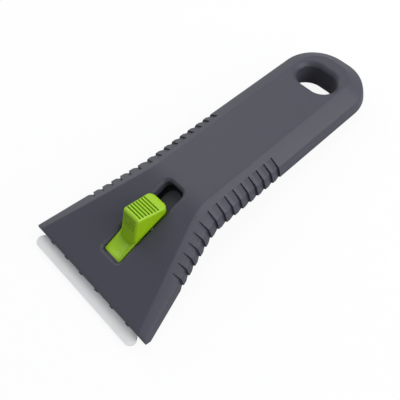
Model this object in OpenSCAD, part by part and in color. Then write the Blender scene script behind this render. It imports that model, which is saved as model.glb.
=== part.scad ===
// Hob scraper with a sliding ceramic blade.
// X is the width, Y runs from the blade to the tail, Z is up. The scraper lies on its heel and
// the end of its handle at Z = 0, and the origin is the middle of the heel land.

/* [Body outline] */
// Width across the lip, at its lower edge
lip_w = 70; // [66:0.5:74]
// Length of the two shells, lip to tail
body_l = 157.3; // [150:0.5:165]
// Width of the handle just behind the fan
handle_w = 44.2; // [42:0.2:46]
// How much each side of the handle draws in towards the tail
handle_draw = 0.6; // [0:0.1:1.2]
// Angle of each flared side
flare_angle = 15; // [14:0.5:16]
// Radius between the flare and the handle
neck_r = 30.5; // [26:0.5:36]
// Radius of the tail's corners
tail_r = 19.4; // [17:0.2:20]

/* [Side profile] */
// Height of the top face at the lip
lip_top = 7.05; // [6.6:0.05:7.5]
// Height of the side wall's upper edge at the lip
lip_arris = 5.4; // [5.2:0.05:5.7]
// Height of the seam between the shells at the lip
lip_seam = 3.62; // [3.5:0.02:3.8]
// Height of the side wall's lower edge at the lip
lip_wall = 0.64; // [0.5:0.02:0.8]
// Rise of the blade plane, degrees
blade_tilt = 11.9; // [11.5:0.1:12.5]
// Fall of the handle towards the tail, degrees
handle_fall = 3.5; // [3:0.1:4]
// Where the fan starts to round into the handle
bend_start = 43.5; // [42:0.5:45]
// Where the handle is straight
bend_end = 53; // [52:0.5:55]
// Heel land, front and back edge
heel = [4, 8]; // [1:0.1:10]
// Wall thickness of the mouldings
wall = 1.8; // [1.6:0.1:2.2]

/* [Grip ribs] */
// Ribs along each side
rib_count = 15; // [9:1:15]
// Depth of each rib's step
rib_depth = 1; // [0.6:0.1:1.2]
// Step between ribs on the handle
rib_pitch = 4.55; // [4.2:0.05:4.8]
// Step between ribs on the flare
rib_pitch_flare = 4.1; // [3.9:0.05:4.2]
// Ribs on the handle and neck
rib_handle_count = 10; // [5:1:10]
// Place of the rearmost step
rib_last = 86.9; // [84:0.1:90]

/* [Thumb slot and slide] */
// Width of the slot
slot_w = 10; // [9.6:0.1:10.4]
// Ends of the slot along the blade plane
slot_ends = [13.4, 50.9]; // [13:0.1:52]
// Travel of the blade
travel = 8.5; // [6:0.1:8.6]
// Clearance between the slide and the shells
gap = 0.3; // [0.25:0.05:0.4]

/* [Blade] */
// Width over the rounded tips
blade_w = 62; // [60:0.5:62]
// Length from the edge to the back
blade_l = 18.7; // [18:0.1:19]
// Thickness
blade_t = 1.1; // [0.9:0.05:1.2]
// How far the edge stands out of the lip
blade_out = 5.4; // [5:0.1:6]
// Radius of the tips
tip_r = 2.6; // [2:0.1:3]
// Width of the back edge
blade_back_w = 36; // [32:1:38]

/* [Hang slot] */
// Middle of the slot, from the lip
hang_y = 134.8; // [132:0.2:137]
// Length and width of the slot
hang_size = [19.9, 14]; // [13:0.1:21]
// Width of its funnelled rim
hang_rim = 2.6; // [2:0.1:3]

/* [Hidden] */
$fn = 48;

shell_grey = "#47484e";
slider_green = "#86ad10";
carrier_grey = "#2c2d31";
blade_white = "#dcdcda";
steel = "#b9bcc0";

// Where the origin lies, measured from the lip
heel_y = (heel[0] + heel[1]) / 2;

// Rises of the sloping edges of the fan, per mm of length
top_rise = 0.281;
arris_rise = 0.219;
seam_rise = tan(blade_tilt);
wall_rise = 0.2022;
base_rise = 0.156;
fall = tan(handle_fall);
base_fall = 0.0673;

// A line that rises along the fan, rounds over and falls along the handle
function bent(y, z0, rise, fall) =
    y <= bend_start ? z0 + rise * y
    : y >= bend_end ? bent_end(z0, rise, fall) - fall * (y - bend_end)
    : z0 + rise * y - (rise + fall) * pow(y - bend_start, 2) / (2 * (bend_end - bend_start));
function bent_end(z0, rise, fall) =
    z0 + rise * bend_end - (rise + fall) * (bend_end - bend_start) / 2;
function top_z(y) = bent(y, lip_top, top_rise, fall);
function arris_z(y) = bent(y, lip_arris, arris_rise, fall);
function seam_z(y) = bent(y, lip_seam, seam_rise, fall);
function wall_z(y) = bent(y, lip_wall, wall_rise, fall);
function base_z(y) = max(0, bent(y, -base_rise * heel[1], base_rise, base_fall));

// Share of the way from the lip's section to the handle's
function share(y) = min(1, max(0, y) / bend_end);
function draft(y) = 0.66 + 0.86 * share(y);
function bevel_w(y) = 3.4 + 4 * share(y);
function low_bevel_w(y) = 2.5 + 4 * share(y);

// Half width of the body at its widest line
flare_w = handle_w / 2 + neck_r * (1 - cos(flare_angle));
flare_end = (lip_w / 2 - flare_w) / tan(flare_angle);
neck_y = flare_end + neck_r * sin(flare_angle);
tail_w = handle_w / 2 - handle_draw;
tail_y = body_l - tail_r;
function half_w(y) =
    y <= flare_end ? lip_w / 2 - y * tan(flare_angle)
    : y <= neck_y ? handle_w / 2 + neck_r - sqrt(pow(neck_r, 2) - pow(neck_y - y, 2))
    : y <= tail_y ? handle_w / 2 - handle_draw * (y - neck_y) / (tail_y - neck_y)
    : tail_w - tail_r + sqrt(max(0, pow(tail_r, 2) - pow(y - tail_y, 2)));
function side_angle(y) =
    y <= flare_end ? flare_angle
    : y <= neck_y ? asin((neck_y - y) / neck_r)
    : y <= tail_y ? 0
    : asin(min(1, (y - tail_y) / tail_r));

// Steps of the ribs, from the rear to the front
function rib_y(i) =
    rib_last - min(i, rib_handle_count - 1) * rib_pitch
             - max(0, i - rib_handle_count + 1) * rib_pitch_flare;
rib_run = 2.1;
step_run = 0.14;
// Places of the body's cross-sections
tail_steps = 8;
stations = concat([0, 8.8, 25, flare_end, (flare_end + neck_y) / 2, neck_y, 74, 100, 122],
                  [for (i = [0 : tail_steps]) tail_y + tail_r * sin(90 * i / tail_steps)]);

// A point of the outline set in by d along its normal
function inset_point(y, d) =
    y == 0 ? [half_w(0) - d / cos(flare_angle), 0]
    : [half_w(y) - d * cos(side_angle(y)), y - d * sin(side_angle(y))];
function lift(p, kind) = [p[0], p[1],
    kind == 0 ? top_z(p[1])
    : kind == 1 ? (top_z(p[1]) + arris_z(p[1])) / 2
    : kind == 2 ? arris_z(p[1])
    : kind == 3 ? seam_z(p[1])
    : kind == 4 ? wall_z(p[1])
    : kind == 5 ? (wall_z(p[1]) + base_z(p[1])) / 2
    : base_z(p[1])];
function set_in(y, kind) =
    kind == 0 ? draft(y) + bevel_w(y)
    : kind == 1 ? draft(y) + bevel_w(y) / 2
    : kind == 2 ? draft(y)
    : kind == 3 ? draft(y) / 2
    : kind == 4 ? 0
    : kind == 5 ? low_bevel_w(y) / 2
    : low_bevel_w(y);
function side_points(y, kinds) = [for (k = kinds) lift(inset_point(y, set_in(y, k)), k)];
function ring(y, kinds) = let (right = side_points(y, kinds), n = len(kinds))
    concat(right, [for (i = [n - 1 : -1 : 0]) [-right[i][0], right[i][1], right[i][2]]]);

// Skin of one shell, lofted from ring to ring
module shell_skin(kinds) {
    m = 2 * len(kinds);
    rings = [for (s = stations) ring(s, kinds)];
    last = (len(rings) - 1) * m;
    sides = [for (i = [0 : len(rings) - 2]) for (j = [0 : m - 1])
        for (t = [[2, 1, 0], [3, 2, 0]])
            let (c = [i * m + j, i * m + (j + 1) % m,
                      (i + 1) * m + (j + 1) % m, (i + 1) * m + j])
                [c[t[0]], c[t[1]], c[t[2]]]];
    front = [for (j = [0 : m / 2 - 2]) for (t = [[2, 1, 0], [3, 2, 0]])
        let (c = [j, m - 1 - j, m - 2 - j, j + 1]) [c[t[0]], c[t[1]], c[t[2]]]];
    back = [for (j = [0 : m / 2 - 2]) for (t = [[2, 1, 0], [3, 2, 0]])
        let (c = [last + j, last + j + 1, last + m - 2 - j, last + m - 1 - j])
            [c[t[0]], c[t[1]], c[t[2]]]];
    faces = concat(sides, front, back);
    polyhedron([for (r = rings) for (p = r) p], faces);
}

// Everything on the blade plane is drawn with u along Y and v along Z
module on_blade_plane() {
    translate([0, 0, lip_seam]) rotate([blade_tilt, 0, 0]) children();
}
// The shells and the slide are drawn from the lip, and lie round the heel
module from_lip() {
    translate([0, -heel_y, 0]) children();
}

// Prism along X under a profile given as [y, z] points
module side_prism(points, w) {
    rotate([90, 0, 90]) translate([0, 0, -w / 2]) linear_extrude(w) polygon(points);
}
// Prism along Z over a plan that is the same on both sides
module plan_prism(points, z0, z1) {
    mirrored = [for (i = [len(points) - 1 : -1 : 0]) [-points[i][0], points[i][1]]];
    translate([0, 0, z0]) linear_extrude(z1 - z0) polygon(concat(points, mirrored));
}
// Block from one corner to the other
module block(a, b) {
    translate(a) cube(b - a);
}
// Block that is the same on both sides, on the blade plane
module bar(w, u, v) {
    block([-w / 2, u[0], v[0]], [w / 2, u[1], v[1]]);
}

// Grip ribs of one side: each is a step across the wall with a ramp in front of it
rib_plan = [[2, 0], [-rib_depth, 0], [-rib_depth, -step_run], [-0.42 * rib_depth, -0.42 * rib_run],
            [0, -rib_run], [0.15, -rib_run - 0.5], [2, -rib_run - 0.5]];
module rib_cuts(on_bevel) {
    for (i = [0 : rib_count - 1]) let (
            y = rib_y(i),
            h = arris_z(y) - wall_z(y),
            drop = (top_z(y) - arris_z(y)) / 2,
            run = bevel_w(y) / 2 - rib_depth,
            lean = atan2(run, drop),
            p = inset_point(y, draft(y)))
        for (m = [0, 1]) mirror([m, 0, 0])
            translate([p[0], p[1], arris_z(p[1])]) rotate([0, 0, side_angle(y)]) {
                rotate([0, -atan2(draft(y), h), 0])
                    translate([0, 0, -h - 2]) linear_extrude(h + 2.3) polygon(rib_plan);
                if (on_bevel) translate([-rib_depth, 0, 0]) rotate([0, -lean, 0])
                    translate([rib_depth, 0, -0.2]) linear_extrude(10) polygon(rib_plan);
            }
}

bend_ys = [for (i = [0 : 4]) bend_start + (bend_end - bend_start) * i / 4];
deep = 30;

/* Shells */
cavity_front = 2.8;
cavity_back = 150;
cavity_ys = [flare_end, (flare_end + neck_y) / 2, neck_y, tail_y, tail_y + 5];
function wall_plan(y0, y1, inset) = [for (y = concat([y0], cavity_ys, [y1]))
    [half_w(y) - inset, y]];
side_wall = 3.4;
ring_wall = 2.4;

module hang_plan(grow) {
    r = hang_size[1] / 2 + grow;
    reach = (hang_size[0] - hang_size[1]) / 2;
    for (s = [-1, 1]) translate([s * reach, 0]) circle(r);
    square([2 * reach, 2 * r], center = true);
}
hang_z = top_z(hang_y);
module at_hang() {
    translate([0, hang_y, hang_z]) rotate([-handle_fall, 0, 0]) children();
}
// Through slot with a funnel at one face
module hang_cut(face_z, up) {
    reach = (hang_size[0] - hang_size[1]) / 2;
    r = hang_size[1] / 2;
    over = 1;
    at_hang() {
        translate([0, 0, -deep]) linear_extrude(2 * deep) hang_plan(0);
        translate([0, 0, face_z]) mirror([0, 0, up ? 0 : 1]) {
            for (s = [-1, 1]) translate([s * reach, 0, -hang_rim * 0.75])
                cylinder(hang_rim * 0.75 + over, r, r + hang_rim * (1 + over / (hang_rim * 0.75)));
            side_w = hang_rim * (1 + over / (hang_rim * 0.75));
            side_prism([[-r, -hang_rim * 0.75], [-r - side_w, over],
                        [r + side_w, over], [r, -hang_rim * 0.75]], 2 * reach);
        }
    }
}

boss_r = 2.9;
seat_wall = 1.2;
screw_r = 1.45;
front_boss = [20.5, 29];
mid_boss = [12, 64];
rear_boss = [0, 116];
bosses = [front_boss, [-front_boss[0], front_boss[1]], mid_boss, [-mid_boss[0], mid_boss[1]],
          rear_boss];
screw_l = 7;
seat_h = 2.2;
head_r = 2.7;
head_h = 1.7;
function seat_z(p) = base_z(p[1]) + seat_h;

cross_ribs = [76, 90, 104];

// Hollow of the upper shell: a wide part beside the walls and a narrower one under the top face
module upper_hollow() {
    ceiling = [for (y = concat([cavity_front], bend_ys, [cavity_back])) [y, top_z(y) - wall]];
    shoulder = [for (y = concat([cavity_front], bend_ys, [cavity_back])) [y, arris_z(y) - 1.2]];
    below = [[cavity_back, -1], [cavity_front, -1]];
    narrow = [for (y = concat([cavity_front, 20], cavity_ys, [cavity_back - 6]))
        [half_w(y) - draft(y) - bevel_w(y) - 0.2, y]];
    difference() {
        union() {
            intersection() {
                side_prism(concat(ceiling, below), 100);
                plan_prism(narrow, -1, deep);
            }
            intersection() {
                side_prism(concat(shoulder, below), 100);
                plan_prism(wall_plan(cavity_front, cavity_back - 3, side_wall), -1, deep);
            }
        }
        at_hang() translate([0, 0, -deep]) linear_extrude(2 * deep) hang_plan(ring_wall + hang_rim);
        for (p = bosses) translate([p[0], p[1], 0]) cylinder(deep, boss_r, boss_r);
        for (y = cross_ribs) block([-deep, y, 0], [deep, y + 1.2, deep]);
        on_blade_plane() {
            for (s = [-1, 1]) {
                block([s * 11.8 - 0.8, 7, clamp_v[1] + gap], [s * 11.8 + 0.8, 46, 9]);
            }
            bar(slot_w + 2 * skirt, slot_ends + [-skirt, skirt], [skirt_v, deep]);
        }
    }
}

skirt = 1.7;
skirt_v = 1.8;
// Radii of the slot's front and rear corners
slot_corners = [1.2, 2.5];
module slot_plan() {
    u0 = slot_ends[0] + slot_corners[0];
    u1 = slot_ends[1] - slot_corners[1];
    translate([-slot_w / 2, u0]) square([slot_w, u1 - u0]);
    for (k = [0, 1]) let (r = slot_corners[k], w = slot_w / 2 - r, u = [u0, u1][k]) {
        for (s = [-1, 1]) translate([s * w, u]) circle(r);
        translate([-w, u - r]) square([2 * w, 2 * r]);
    }
}

notch_x = 4.6;
notch_r = 1.1;
detent_u = 32;
rim_w = 1;
// One end of the slot's chamfer, with its middle side towards +Y; the plane z = 0 is the top face
module rim_end(slot_corner, l) {
    over = 0.5;
    under = 0.1;
    corner = slot_corner + 0.2;
    w = slot_w / 2 - corner;
    for (s = [-1, 1]) {
        translate([s * w, -corner, -rim_w - under])
            cylinder(rim_w + over + under, corner - under, corner + rim_w + over);
        mirror([s > 0 ? 0 : 1, 0, 0]) translate([0, -corner, 0]) rotate([90, 0, 0])
            linear_extrude(l) polygon([[w, -rim_w - under], [slot_w / 2 - under, -rim_w - under],
                                       [slot_w / 2 + rim_w + over, over], [w, over]]);
    }
    side_prism([[-corner, -rim_w - under], [-under, -rim_w - under], [rim_w + over, over],
                [-corner, over]], 2 * w);
}
rim_ends = [12.25, 48.5];
rim_join = 44;
module slot_rim() {
    tangent = top_rise - (top_rise + fall) * (rim_ends[1] - 1.5 - bend_start) / (bend_end - bend_start);
    translate([0, rim_ends[0], top_z(rim_ends[0])]) rotate([atan(top_rise), 0, 0])
        mirror([0, 1, 0]) rim_end(slot_corners[0], rim_join - rim_ends[0] - slot_corners[0]);
    translate([0, rim_ends[1], top_z(rim_ends[1])]) rotate([atan(tangent), 0, 0])
        rim_end(slot_corners[1], rim_ends[1] - rim_join);
}
mouth_v = 0.55;
mouth_w = 60;
mouth_ribs = [5, 14.5, 24];
mouth_rib_half = 1;
// Gap over the blade, with guide ribs across it
module mouth() {
    on_blade_plane() difference() {
        bar(mouth_w, [-3, cavity_front + 0.6], [-1, mouth_v]);
        for (s = [-1, 1]) for (x = mouth_ribs)
            block([s * x - mouth_rib_half, -4, -2], [s * x + mouth_rib_half, 5, 2]);
    }
}

module upper_shell() {
    color(shell_grey) from_lip() difference() {
        shell_skin([0, 1, 2, 3]);
        upper_hollow();
        hang_cut(0, true);
        rib_cuts(true);
        mouth();
        on_blade_plane() {
            translate([0, 0, -1]) linear_extrude(deep) slot_plan();
            for (s = [-1, 1]) for (u = [detent_u, detent_u + travel])
                translate([s * notch_x, u, -1]) cylinder(deep, notch_r, notch_r);
        }
        slot_rim();
        for (p = bosses) translate([p[0], p[1], 0])
            cylinder(seat_z(p) + screw_l + 0.4, 1.2, 1.2);
    }
}

slit_floor = -0.25 - blade_t - 0.2;
module lower_hollow() {
    front = 5.6;
    back = cavity_back;
    ys = concat([front, heel[1]], bend_ys, [142, back]);
    floor_line = [for (y = ys) [y, base_z(y) + wall]];
    above = [[back, deep], [front, deep]];
    inner = [for (y = concat([front, 20], cavity_ys, [back - 6]))
        [half_w(y) - low_bevel_w(y) - 0.6, y]];
    shelf = [for (y = ys) [y, wall_z(y) + 1.4]];
    difference() {
        union() {
            intersection() {
                side_prism(concat(floor_line, above), 100);
                plan_prism(inner, -1, deep);
            }
            intersection() {
                side_prism(concat(shelf, above), 100);
                plan_prism(wall_plan(front, back - 3, side_wall), -1, deep);
            }
        }
        at_hang() translate([0, 0, -deep]) linear_extrude(2 * deep) hang_plan(ring_wall + hang_rim);
        for (p = bosses) translate([p[0], p[1], 0]) cylinder(deep, head_r + 0.3 + seat_wall, head_r + 0.3 + seat_wall);
        for (y = cross_ribs) block([-deep, y, 0], [deep, y + 1.2, deep]);
        on_blade_plane() for (s = [-1, 1]) {
            block([s * guide_x - 0.9, 8, -12], [s * guide_x + 0.9, 46, -1.7]);
            block([s * 7 - 0.8, 8, -12], [s * 7 + 0.8, 46, carrier_v[0] - gap]);
            for (x = [16.5, 24]) block([s * x - 0.7, 0, -12], [s * x + 0.7, 7, slit_floor]);
        }
    }
}

module lower_shell() {
    color(shell_grey) from_lip() difference() {
        shell_skin([3, 4, 5, 6]);
        lower_hollow();
        rib_cuts(false);
        hang_cut(base_z(hang_y) - hang_z, false);
        // The front is cut back so that the blade can lie low
        side_prism([[-3, deep], [-3, -3], [heel[0], -3], [heel[0], 0], [0, lip_seam], [0, deep]], 100);
        on_blade_plane() difference() {
            plan_prism([[blade_w / 2 + 0.5, -12], [blade_w / 2 + 0.5, 7.4],
                        [blade_back_w / 2 + 1, blade_l - blade_out + travel + 1]],
                       slit_floor, 3);
        }
        for (p = bosses) translate([p[0], p[1], 0]) {
            translate([0, 0, -1]) cylinder(seat_z(p) + 1, head_r + 0.3, head_r + 0.3);
            cylinder(deep, screw_r + 0.15, screw_r + 0.15);
        }
    }
}

/* Blade and its carrier */
carrier_v = [-3.35, -0.25 - blade_t];
carrier_w = 25;
guide_x = carrier_w / 2 + gap + 0.9;
clamp_v = [-0.25, 1];
blade_back_u = blade_l - blade_out;
peg_at = [10.6, 10.6];
peg_r = 1.5;

module ceramic_blade() {
    tip_x = blade_w / 2 - tip_r;
    tip_u = tip_r - blade_out;
    back_x = blade_back_w / 2;
    // Where the slanted ends leave the rounded tips
    lean = atan((tip_x - back_x) / (blade_back_u - tip_u));
    reach = norm([tip_x - back_x, blade_back_u - tip_u]);
    turn = lean + asin(tip_r / reach);
    tangent = [tip_x + tip_r * cos(turn), tip_u + tip_r * sin(turn)];
    color(blade_white) from_lip() on_blade_plane() difference() {
        translate([0, 0, carrier_v[1]]) linear_extrude(blade_t) {
            polygon([[tip_x, -blade_out], tangent, [back_x, blade_back_u],
                     [-back_x, blade_back_u], [-tangent[0], tangent[1]], [-tip_x, -blade_out]]);
            for (s = [-1, 1]) translate([s * tip_x, tip_u]) circle(tip_r);
        }
        // Ground edge, from below
        side_prism([[-blade_out - 1, carrier_v[1] - 1], [-blade_out - 1, -0.45],
                    [-blade_out, -0.45], [-blade_out + 1.4, carrier_v[1]],
                    [-blade_out + 1.4, carrier_v[1] - 1]], 100);
        for (s = [-1, 1]) translate([s * peg_at[0], peg_at[1], -3])
            cylinder(6, peg_r + 0.2, peg_r + 0.2);
    }
}

slider_screw_u = [25, 37.5];
clamp_screw_at = [8.5, 16.8];
tail_half = 3.8;
tail_end = 50.4;
module blade_carrier() {
    color(carrier_grey) from_lip() on_blade_plane() difference() {
        union() {
            bar(carrier_w, [7, blade_back_u + 0.3], [carrier_v[1] - 1.2, carrier_v[1]]);
            bar(carrier_w, [blade_back_u + 0.3, 42], carrier_v);
            bar(carrier_w, [blade_back_u + 0.3, 21], [carrier_v[1], clamp_v[0]]);
            bar(17, [21, 42], [carrier_v[1], clamp_v[0]]);
            // Tail that shows through the slot behind the thumb
            bar(2 * tail_half, [41.5, tail_end - tail_half], [carrier_v[1], clamp_v[0]]);
            translate([0, tail_end - tail_half, carrier_v[1]])
                cylinder(clamp_v[0] - carrier_v[1], tail_half, tail_half);
            for (s = [-1, 1]) translate([s * peg_at[0], peg_at[1], carrier_v[1] - 0.6])
                cylinder(blade_t + 0.4, peg_r, peg_r);
        }
        for (s = [-1, 1]) {
            translate([s * clamp_screw_at[0], clamp_screw_at[1], -2.6]) cylinder(4, 0.95, 0.95);
            // Lightening pockets beside the middle block
            block([s * 10.5 - 1.2, 24, -4], [s * 10.5 + 1.2, 39, 0]);
        }
        for (u = slider_screw_u) translate([0, u, 0]) {
            translate([0, 0, -4]) cylinder(5, 1.3, 1.3);
            translate([0, 0, -4]) cylinder(4 + carrier_v[0] + 1.3, 2.3, 2.3);
        }
    }
}

module blade_clamp() {
    w = 34;
    color(steel) from_lip() on_blade_plane() difference() {
        union() {
            bar(w, [4.2, 13], [clamp_v[0], clamp_v[1] - 0.4]);
            bar(22, [13, 20.6], [clamp_v[0], clamp_v[1] - 0.4]);
            bar(w - 6, [8, 9.2], clamp_v);
        }
        for (s = [-1, 1]) {
            translate([s * peg_at[0], peg_at[1], -2]) cylinder(4, peg_r + 0.3, peg_r + 0.3);
            translate([s * clamp_screw_at[0], clamp_screw_at[1], -2]) cylinder(4, 1.15, 1.15);
            translate([s * (w / 2), 13, -1]) rotate([0, 0, 45]) cube([3, 3, 6], center = true);
        }
    }
}

// Screw with a low round head and a cross recess, its seat at z = 0 and its shank downwards
module screw(r, l, head, h) {
    difference() {
        union() {
            cylinder(h, head, head * 0.82);
            translate([0, 0, -l]) cylinder(l, r, r);
        }
        for (a = [0, 90]) rotate([0, 0, a])
            translate([0, 0, h]) cube([head * 1.1, head * 0.24, h * 1.1], center = true);
    }
}

module clamp_screws() {
    color(steel) from_lip() on_blade_plane() for (s = [-1, 1])
        translate([s * clamp_screw_at[0], clamp_screw_at[1], clamp_v[1] - 0.4])
            screw(0.95, 2.9, 1.8, 0.75);
}

module slider_screws() {
    color(steel) from_lip() on_blade_plane() for (u = slider_screw_u)
        translate([0, u, carrier_v[0] + 1.3]) mirror([0, 0, 1]) screw(1.1, 5.2, 2.05, 1.15);
}

module shell_screws() {
    color(steel) from_lip() for (p = bosses)
        translate([p[0], p[1], seat_z(p)]) mirror([0, 0, 1]) screw(1.2, screw_l, head_r, head_h);
}

/* Thumb slider */
grip_front = 20.4;
grip_back = 40.2;
crest = [25.6, 25.3];
heel_top = [38.4, 21];
function grip_w(y) = 3.7 + 1.6 * (y - grip_front) / (grip_back - grip_front);
// Side view of the grip, from the lip
grip_profile = concat(
    [[grip_front, 9.2]],
    [for (a = [162 : -23 : 70]) crest + [0.6, -0.95] + 1.2 * [cos(a), sin(a)]],
    [for (a = [70 : -22 : -6]) heel_top + [0.1, -1.75] + 1.75 * [cos(a), sin(a)]],
    [[grip_back, 12]]);
module grip_plan(most) {
    corner = 2;
    front = min(most, grip_w(grip_front));
    back = min(most, grip_w(grip_back));
    for (s = [-1, 1]) translate([s * (back - corner), grip_back - corner]) circle(corner);
    polygon([[-front, grip_front], [front, grip_front], [back, grip_back - corner],
             [back - corner, grip_back], [corner - back, grip_back], [-back, grip_back - corner]]);
}
clear_rise = 1;
groove_n = 7;
groove_gap = 0.107;
front_groove_n = 4;
module grip() {
    slope = atan2(heel_top[1] - crest[1], heel_top[0] - crest[0]);
    foot = [grip_front, 9.2];
    face = atan2(crest[1] - foot[1], crest[0] - foot[0]);
    difference() {
        union() {
            intersection() {
                side_prism(grip_profile, 30);
                linear_extrude(deep) grip_plan(slot_w / 2 - gap);
            }
            intersection() {
                side_prism(grip_profile, 30);
                linear_extrude(deep) grip_plan(10);
                side_prism([[0, lip_top + clear_rise], [60, lip_top + clear_rise + 60 * top_rise],
                            [60, 60], [0, 60]], 30);
            }
        }
        for (i = [0 : groove_n - 1]) let (p = crest + (0.1 + groove_gap * i) * (heel_top - crest))
            translate([0, p[0], p[1] + 0.05]) rotate([slope, 0, 0])
                cube([2 * grip_w(p[0]) - 1.8, 0.8, 1.1], center = true);
        for (i = [0 : front_groove_n - 1]) let (p = foot + (0.58 + 0.08 * i) * (crest - foot))
            translate([0, p[0], p[1]]) rotate([face, 0, 0])
                cube([2 * grip_w(22) - 1.6, 0.6, 0.7], center = true);
    }
}

tab_u = [13.8, 21.6];
tab_half = slot_w / 2 - gap - 0.1;
tab_corner = 0.8;
// The block in the slot under the grip, a little below the top face
foot_u = [22.2, 39.9, 40.7];
foot_v = [4.5, 5.75];
arm_x = 3.3;
pocket_v = [0.7, 4.1];
arm_us = [27, 39.4];
module thumb_slider() {
    rim_v = [2.55, 4.2];
    dish_v = [2.4, 1.9];
    color(slider_green) from_lip() difference() {
        union() {
            grip();
            on_blade_plane() {
                // Tab with a dished top between two rims
                difference() {
                    intersection() {
                        side_prism([[tab_u[0], clamp_v[1] + 0.1], [tab_u[0], rim_v[0] - 0.4],
                                    [tab_u[0] + 0.4, rim_v[0]], [tab_u[1], rim_v[1]],
                                    [tab_u[1], clamp_v[1] + 0.1]], slot_w);
                        plan_prism([[tab_half - tab_corner, tab_u[0]],
                                    [tab_half, tab_u[0] + tab_corner], [tab_half, tab_u[1]]], 0, 9);
                    }
                    side_prism([[tab_u[0] + 0.9, 9], [tab_u[0] + 0.9, dish_v[0]],
                                [tab_u[1] - 0.3, dish_v[1]], [tab_u[1] - 0.3, 9]], 7.4);
                }
                // Foot between the grip and the carrier
                bar(2 * tab_half, [tab_u[1] - 0.4, foot_u[1]], [clamp_v[1] + 0.1, 3]);
                intersection() {
                    side_prism([[foot_u[0], 1], [foot_u[0], foot_v[0]], [foot_u[2], foot_v[1]],
                                [foot_u[2], 1]], slot_w);
                    plan_prism([[slot_w / 2 - gap, foot_u[0]], [slot_w / 2 - gap, foot_u[1]],
                                [slot_w / 2 - gap - 0.8, foot_u[2]]], 0, 9);
                }
                bar(16, [22.4, foot_u[2]], [clamp_v[0], 1.5]);
            }
        }
        on_blade_plane() {
            for (u = slider_screw_u) translate([0, u, clamp_v[0] - 1]) cylinder(4.6, 1.1, 1.1);
            for (s = [-1, 1]) block([s > 0 ? arm_x : -8.1, arm_us[0], pocket_v[0]],
                                    [s > 0 ? 8.1 : -arm_x, arm_us[1], pocket_v[1]]);
            bar(2 * arm_x + 1, [arm_us[0], arm_us[0] + 0.7], pocket_v);
        }
    }
}

// Steel strip bent to a U, with a rounded bump on each arm
module detent_spring() {
    t = 0.4;
    arm = arm_x + 0.55;
    bump = slot_w / 2 + 0.3;
    color(steel) from_lip() on_blade_plane() translate([0, 0, pocket_v[0] + 0.2])
        linear_extrude(pocket_v[1] - pocket_v[0] - 0.4) {
            foot = arm_us[0] + 0.15;
            tip = arm_us[1] - 0.6;
            outer = [[arm, foot], [arm, detent_u - 1.5], [bump, detent_u - 0.35],
                     [bump, detent_u + 0.35], [arm, detent_u + 1.5], [arm, tip]];
            inner = [[arm - t, tip], [arm - t, detent_u + 1.35], [bump - t, detent_u + 0.2],
                     [bump - t, detent_u - 0.2], [arm - t, detent_u - 1.35], [arm - t, foot + t]];
            one_side = concat(outer, inner);
            n = len(one_side);
            polygon(concat(one_side, [for (i = [n - 1 : -1 : 0]) [-one_side[i][0], one_side[i][1]]]));
        }
}

upper_shell();
lower_shell();
thumb_slider();
blade_carrier();
ceramic_blade();
blade_clamp();
clamp_screws();
slider_screws();
detent_spring();
shell_screws();
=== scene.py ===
import math

import bmesh
import bpy
from mathutils import Matrix, Vector


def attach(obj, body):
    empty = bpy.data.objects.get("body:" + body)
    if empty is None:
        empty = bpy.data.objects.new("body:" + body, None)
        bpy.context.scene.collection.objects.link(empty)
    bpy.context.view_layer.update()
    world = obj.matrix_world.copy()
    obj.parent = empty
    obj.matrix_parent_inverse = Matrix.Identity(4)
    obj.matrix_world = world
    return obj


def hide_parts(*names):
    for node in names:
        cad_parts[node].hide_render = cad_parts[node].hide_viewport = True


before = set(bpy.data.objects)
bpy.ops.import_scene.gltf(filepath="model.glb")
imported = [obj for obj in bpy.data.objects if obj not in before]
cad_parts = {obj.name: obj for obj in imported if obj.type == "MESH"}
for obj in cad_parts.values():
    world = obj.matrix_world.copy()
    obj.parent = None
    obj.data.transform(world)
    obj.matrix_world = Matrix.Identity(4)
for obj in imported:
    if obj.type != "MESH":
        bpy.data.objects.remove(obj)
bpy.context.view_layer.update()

mm = 0.001
heelY = 6  # the shells are drawn from the lip, and the origin is the middle of the heel
bladeTilt = 11.9  # degrees between the blade plane and the table

# Outline and side profile of the body, in millimetres and degrees from the lip
bodyForm = {
    "lipHalf": 35,
    "length": 157.3,
    "handleHalf": 22.1,
    "handleDraw": 0.6,
    "flareAngle": 15,
    "neckRadius": 30.5,
    "tailRadius": 19.4,
    "bendStart": 43.5,
    "bendEnd": 53,
    "handleFall": 3.5,
    "top": (7.05, 0.281),  # height at the lip, rise along the fan
    "arris": (5.4, 0.219),
    "seam": (3.62, math.tan(math.radians(bladeTilt))),
    "wall": (0.64, 0.2022),
    "base": (-1.248, 0.156),
    "baseFall": 0.0673,
}

sinFlare = math.sin(math.radians(bodyForm["flareAngle"]))
cosFlare = math.cos(math.radians(bodyForm["flareAngle"]))
tanFlare = sinFlare / cosFlare
flareHalf = bodyForm["handleHalf"] + bodyForm["neckRadius"] * (1 - cosFlare)
flareEnd = (bodyForm["lipHalf"] - flareHalf) / tanFlare
neckY = flareEnd + bodyForm["neckRadius"] * sinFlare
tailY = bodyForm["length"] - bodyForm["tailRadius"]


def lineHeight(line, y):
    # a line that rises along the fan, rounds over and falls along the handle
    start, rise = bodyForm[line]
    fall = bodyForm["baseFall"] if line == "base" else math.tan(math.radians(bodyForm["handleFall"]))
    first, last = bodyForm["bendStart"], bodyForm["bendEnd"]
    if y <= first:
        z = start + rise * y
    elif y < last:
        z = start + rise * y - (rise + fall) * (y - first) ** 2 / (2 * (last - first))
    else:
        z = start + rise * last - (rise + fall) * (last - first) / 2 - fall * (y - last)
    return max(0, z) if line == "base" else z


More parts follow.
